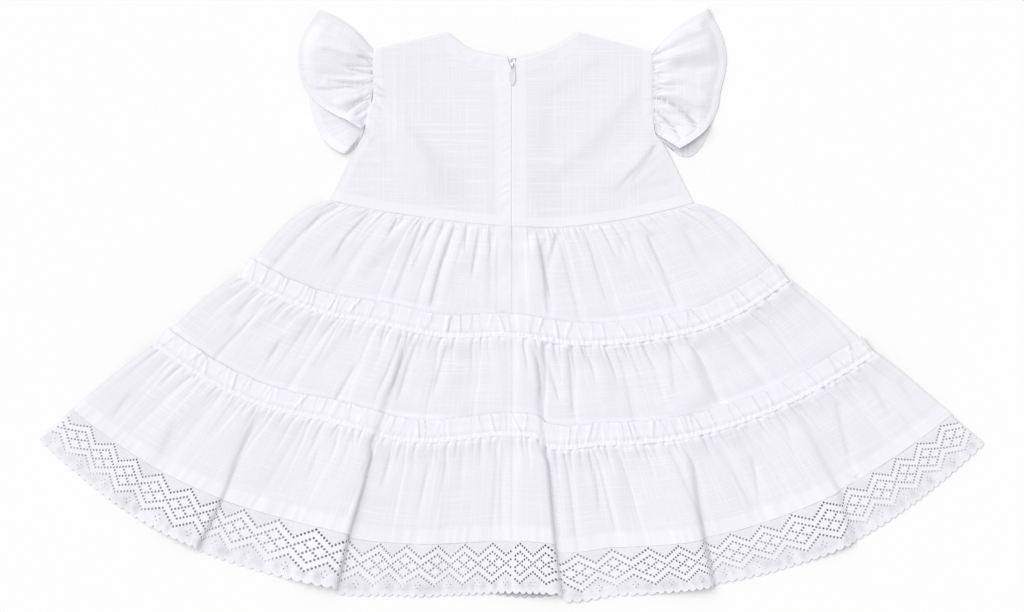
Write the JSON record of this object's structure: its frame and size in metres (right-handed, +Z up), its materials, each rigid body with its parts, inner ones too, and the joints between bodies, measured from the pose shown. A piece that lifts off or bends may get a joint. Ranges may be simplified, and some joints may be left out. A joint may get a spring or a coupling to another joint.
{
  "type": "toddler dress",
  "caption": "Toddler's white cotton dress laid flat with its back up: bodice with flutter sleeves, gathered tiers, lace hem edging and a back zip with a pull that lifts.",
  "frame": {"origin": "centre of the bounding box, on the flat surface that the dress lies on", "axes": "+Y from the hem to the neck, +X to the wearer's right with the back of the dress up, +Z up off the surface, out of the back of the dress"},
  "size_m": [0.823, 0.514, 0.0103],
  "materials": {
    "bodice_front": "white slub plain-weave cotton, matt",
    "bodice_back_left": "white slub plain-weave cotton, matt",
    "bodice_back_right": "white slub plain-weave cotton, matt",
    "sleeve_left": "white slub plain-weave cotton, matt",
    "sleeve_right": "white slub plain-weave cotton, matt",
    "tier_1_front": "white slub plain-weave cotton, matt",
    "tier_1_back_left": "white slub plain-weave cotton, matt",
    "tier_1_back_right": "white slub plain-weave cotton, matt",
    "tier_2_front": "white slub plain-weave cotton, matt",
    "tier_2_back_left": "white slub plain-weave cotton, matt",
    "tier_2_back_right": "white slub plain-weave cotton, matt",
    "tier_3_front": "white slub plain-weave cotton, matt",
    "tier_3_back_left": "white slub plain-weave cotton, matt",
    "tier_3_back_right": "white slub plain-weave cotton, matt",
    "lace_front": "white cotton bobbin-type edging lace, matt",
    "lace_back_left": "white cotton bobbin-type edging lace, matt",
    "lace_back_right": "white cotton bobbin-type edging lace, matt",
    "zip_tape": "white woven polyester tape with a nylon coil",
    "zip_slider": "nickel-plated zinc, satin",
    "zip_pull": "white enamel, semi-gloss"
  },
  "bodies": {
    "dress": {"bodice_front": "bodice_front", "bodice_back_left": "bodice_back_left", "bodice_back_right": "bodice_back_right", "sleeve_left": "sleeve_left", "sleeve_right": "sleeve_right", "tier_1_front": "tier_1_front", "tier_1_back_left": "tier_1_back_left", "tier_1_back_right": "tier_1_back_right", "tier_2_front": "tier_2_front", "tier_2_back_left": "tier_2_back_left", "tier_2_back_right": "tier_2_back_right", "tier_3_front": "tier_3_front", "tier_3_back_left": "tier_3_back_left", "tier_3_back_right": "tier_3_back_right", "lace_front": "lace_front", "lace_back_left": "lace_back_left", "lace_back_right": "lace_back_right", "zip_tape": "zip_tape", "zip_slider": "zip_slider"},
    "pull": {"zip_pull": "zip_pull"}
  },
  "joints": [
    {"name": "pull_hinge", "type": "hinge", "parent": "dress", "child": "pull", "pos_m": [0.0009, 0.207, 0.00435], "axis": [-1, 0, 0], "range_deg": [0, 150]}
  ]
}
